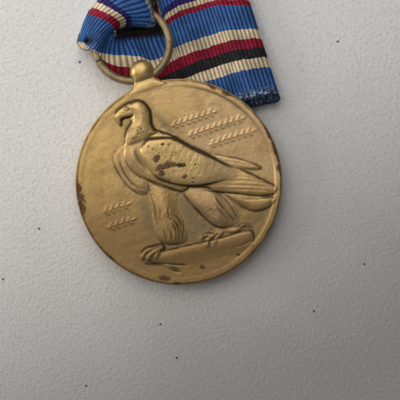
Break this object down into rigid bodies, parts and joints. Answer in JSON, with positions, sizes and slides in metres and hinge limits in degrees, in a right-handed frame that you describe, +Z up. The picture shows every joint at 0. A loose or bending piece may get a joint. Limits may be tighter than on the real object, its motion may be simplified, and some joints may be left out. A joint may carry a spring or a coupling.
{
  "type": "military service medal",
  "caption": "Round bronze campaign medal with a raised eagle, hung by a split ring from a striped ribbon folded round a pin-back brooch bar.",
  "frame": {"origin": "middle of the footprint, on the surface that the medal lies on, eagle side up", "axes": "+Z up out of the raised eagle's face, +Y from the disc through its knob towards the ribbon, +X along the ribbon's stripes towards its fold round the brooch bar"},
  "size_m": [0.0352, 0.0597, 0.0057],
  "materials": {
    "medal_bronze": "sandblasted gilt bronze with worn high points, brown tarnish in the grooves and rust-brown spots",
    "knob_bronze": "polished bronze, bright on top and darker towards the neck",
    "ring_wire": "drawn bronze wire, satin, darkened with age",
    "ribbon_cloth": "ribbed rayon moire ribbon in blue with narrow cream, black, red and navy stripes",
    "brooch_brass": "brushed brass, lightly tarnished",
    "pin_wire": "drawn nickel-brass wire, bright",
    "sewing_thread": "twisted dark blue cotton thread"
  },
  "bodies": {
    "ribbon_and_brooch": {"ribbon": "ribbon_cloth", "brooch_bar": "brooch_brass", "hinge_block": "brooch_brass", "hinge_rivet": "pin_wire", "catch_block": "brooch_brass", "stitch_1": "sewing_thread", "stitch_2": "sewing_thread", "stitch_3": "sewing_thread", "stitch_4": "sewing_thread", "stitch_5": "sewing_thread"},
    "ring": {"suspension_ring": "ring_wire"},
    "medal": {"medal_disc": "medal_bronze", "suspension_knob": "knob_bronze"},
    "pin": {"brooch_pin": "pin_wire"},
    "lock": {"catch_lock": "brooch_brass"}
  },
  "joints": [
    {"name": "ring_swing", "type": "hinge", "parent": "ribbon_and_brooch", "child": "ring", "pos_m": [-0.00462, 0.01361, 0.00221], "axis": [-0.8829, -0.4615, 0.0864], "range_deg": [0, 60]},
    {"name": "medal_swing", "type": "hinge", "parent": "ring", "child": "medal", "pos_m": [-0.00192, 0.0031, 0.0042], "axis": [-1, 0, 0], "range_deg": [0, 80]},
    {"name": "pin_opening", "type": "hinge", "parent": "ribbon_and_brooch", "child": "pin", "pos_m": [0.0149, 0.02537, 0.00095], "axis": [1, 0, 0], "range_deg": [0, 100]},
    {"name": "lock_turn", "type": "hinge", "parent": "ribbon_and_brooch", "child": "lock", "pos_m": [0.0149, -0.00023, 0.00095], "axis": [0, 1, 0], "range_deg": [0, 75]}
  ]
}
